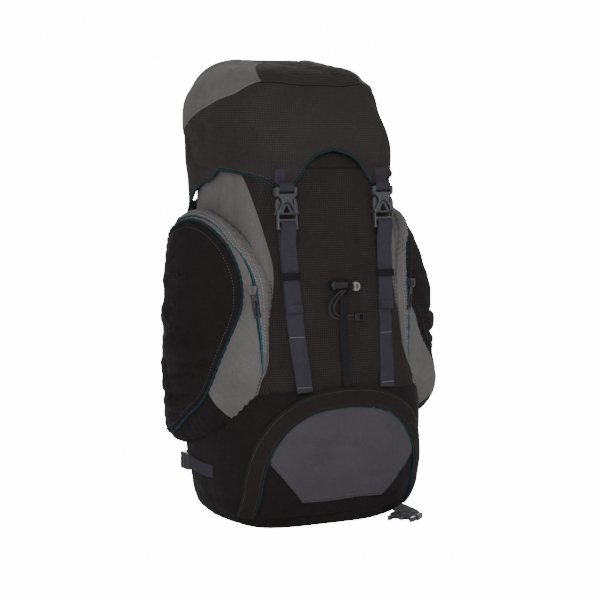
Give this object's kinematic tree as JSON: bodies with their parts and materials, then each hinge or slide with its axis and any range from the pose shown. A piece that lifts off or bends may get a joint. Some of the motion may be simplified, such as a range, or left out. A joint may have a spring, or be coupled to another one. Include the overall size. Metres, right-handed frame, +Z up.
{
  "type": "hiking backpack",
  "caption": "Tall framed hiking backpack with a hinged buckled lid, side pockets, a zipped lower compartment, webbing straps and a padded harness.",
  "frame": {"origin": "middle of the flat base, on the surface the pack stands on", "axes": "+Z up, front faces -Y, harness faces +Y, +X to the right seen from the front"},
  "size_m": [0.414, 0.3691, 0.68],
  "materials": {
    "main_fabric": "ripstop",
    "side_fabric": "twill",
    "webbing": "woven",
    "elastic": "woven elastic",
    "grey_plastic": "satin moulded",
    "black_plastic": "moulded",
    "zip_tape": "coated tape",
    "zip_metal": "satin",
    "cord": "braided",
    "harness": "spacer mesh over foam",
    "frame_plastic": "sheet",
    "stay_alloy": "mill",
    "label": "woven tape"
  },
  "bodies": {
    "root": {"main_bag": "main_fabric", "drawcord_collar": "main_fabric", "collar_cord": "cord", "compartment_divider": "main_fabric", "frame_sheet": "frame_plastic", "frame_stays": "stay_alloy", "left_side_pocket": "side_fabric", "right_side_pocket": "side_fabric", "pocket_zips": "zip_tape", "storm_flap": "side_fabric", "left_lid_strap": "webbing", "right_lid_strap": "webbing", "lid_hinge_strap": "main_fabric", "tool_loop_strap": "webbing", "tool_lock_anchor": "elastic", "tool_cord_lock": "grey_plastic", "tool_cord_outer": "cord", "tool_cord_inner": "cord", "tool_cord_end": "grey_plastic", "back_pads": "harness", "lumbar_pad": "harness", "left_shoulder_strap": "harness", "right_shoulder_strap": "harness", "shoulder_webbing": "webbing", "shoulder_ladder_locks": "black_plastic", "sternum_strap": "webbing", "sternum_socket": "black_plastic", "right_hip_webbing": "webbing", "hip_buckle_plug": "black_plastic", "haul_loop": "webbing", "compression_straps": "webbing", "compression_buckles": "black_plastic", "loop_label": "label"},
    "lid": {"lid_shell": "main_fabric", "lid_pocket_floor": "main_fabric", "lid_zip": "zip_tape", "left_buckle_socket": "grey_plastic", "right_buckle_socket": "grey_plastic", "lid_buckle_tabs": "webbing"},
    "lid_zip_slider": {"lid_zip_slider": "zip_metal"},
    "collar_lock": {"collar_cord_lock": "black_plastic"},
    "left_plug": {"left_buckle_plug": "grey_plastic", "left_strap_tail": "webbing"},
    "right_plug": {"right_buckle_plug": "grey_plastic", "right_strap_tail": "webbing"},
    "left_keeper": {"left_strap_keeper": "elastic"},
    "right_keeper": {"right_strap_keeper": "elastic"},
    "lower_door": {"lower_door": "main_fabric", "lower_zip": "zip_tape"},
    "left_zip_slider": {"left_zip_slider": "zip_metal"},
    "left_zip_pull": {"left_zip_pull": "black_plastic"},
    "right_zip_slider": {"right_zip_slider": "zip_metal"},
    "right_zip_pull": {"right_zip_pull": "black_plastic"},
    "tool_lock_button": {"tool_lock_button": "grey_plastic"},
    "sternum_plug": {"sternum_plug": "black_plastic", "sternum_webbing": "webbing"},
    "left_hip_wing": {"left_hip_wing": "harness", "left_hip_webbing": "webbing", "hip_buckle_socket": "black_plastic"},
    "right_hip_wing": {"right_hip_wing": "harness"}
  },
  "joints": [
    {"name": "lid_hinge", "type": "hinge", "parent": "root", "child": "lid", "pos_m": [0, 0.105, 0.44], "axis": [-1, 0, 0], "range_deg": [0, 90]},
    {"name": "lid_zip_slide", "type": "slide", "parent": "lid", "child": "lid_zip_slider", "axis": [1, 0, 0], "range_m": [0, 0.125]},
    {"name": "collar_lock_slide", "type": "slide", "parent": "root", "child": "collar_lock", "axis": [0, 1, 0], "range_m": [0, 0.04]},
    {"name": "left_plug_slide", "type": "slide", "parent": "root", "child": "left_plug", "axis": [0, -0.1271, -0.9919], "range_m": [0, 0.028]},
    {"name": "left_keeper_slide", "type": "slide", "parent": "root", "child": "left_keeper", "axis": [0, 0.1512, 0.9885], "range_m": [-0.01, 0.02]},
    {"name": "left_zip_slide", "type": "slide", "parent": "root", "child": "left_zip_slider", "axis": [-0.1583, 0.1065, 0.9816], "range_m": [-0.05, 0.05]},
    {"name": "left_pull_swing", "type": "hinge", "parent": "left_zip_slider", "child": "left_zip_pull", "pos_m": [-0.13231, -0.12729, 0.34304], "axis": [-0.8146, 0.5477, -0.1908], "range_deg": [0, 90]},
    {"name": "left_wing_fold", "type": "hinge", "parent": "root", "child": "left_hip_wing", "pos_m": [-0.092, 0.108, 0.11], "axis": [0, 0, 1], "range_deg": [0, 65]},
    {"name": "right_plug_slide", "type": "slide", "parent": "root", "child": "right_plug", "axis": [0, -0.1271, -0.9919], "range_m": [0, 0.028]},
    {"name": "right_keeper_slide", "type": "slide", "parent": "root", "child": "right_keeper", "axis": [0, 0.1512, 0.9885], "range_m": [-0.01, 0.02]},
    {"name": "right_zip_slide", "type": "slide", "parent": "root", "child": "right_zip_slider", "axis": [0.1583, 0.1065, 0.9816], "range_m": [-0.05, 0.05]},
    {"name": "right_pull_swing", "type": "hinge", "parent": "right_zip_slider", "child": "right_zip_pull", "pos_m": [0.13231, -0.12729, 0.34304], "axis": [-0.8146, -0.5477, 0.1908], "range_deg": [0, 90]},
    {"name": "right_wing_fold", "type": "hinge", "parent": "root", "child": "right_hip_wing", "pos_m": [0.092, 0.108, 0.11], "axis": [0, 0, -1], "range_deg": [0, 65]},
    {"name": "lower_door_fold", "type": "hinge", "parent": "root", "child": "lower_door", "pos_m": [0, -0.1285, 0.025], "axis": [1, 0, 0], "range_deg": [0, 80]},
    {"name": "tool_button_press", "type": "slide", "parent": "root", "child": "tool_lock_button", "axis": [-1, 0, 0], "range_m": [0, 0.004], "stiffness_N_per_m": 300},
    {"name": "sternum_plug_slide", "type": "slide", "parent": "root", "child": "sternum_plug", "axis": [1, 0, 0], "range_m": [0, 0.025]}
  ]
}
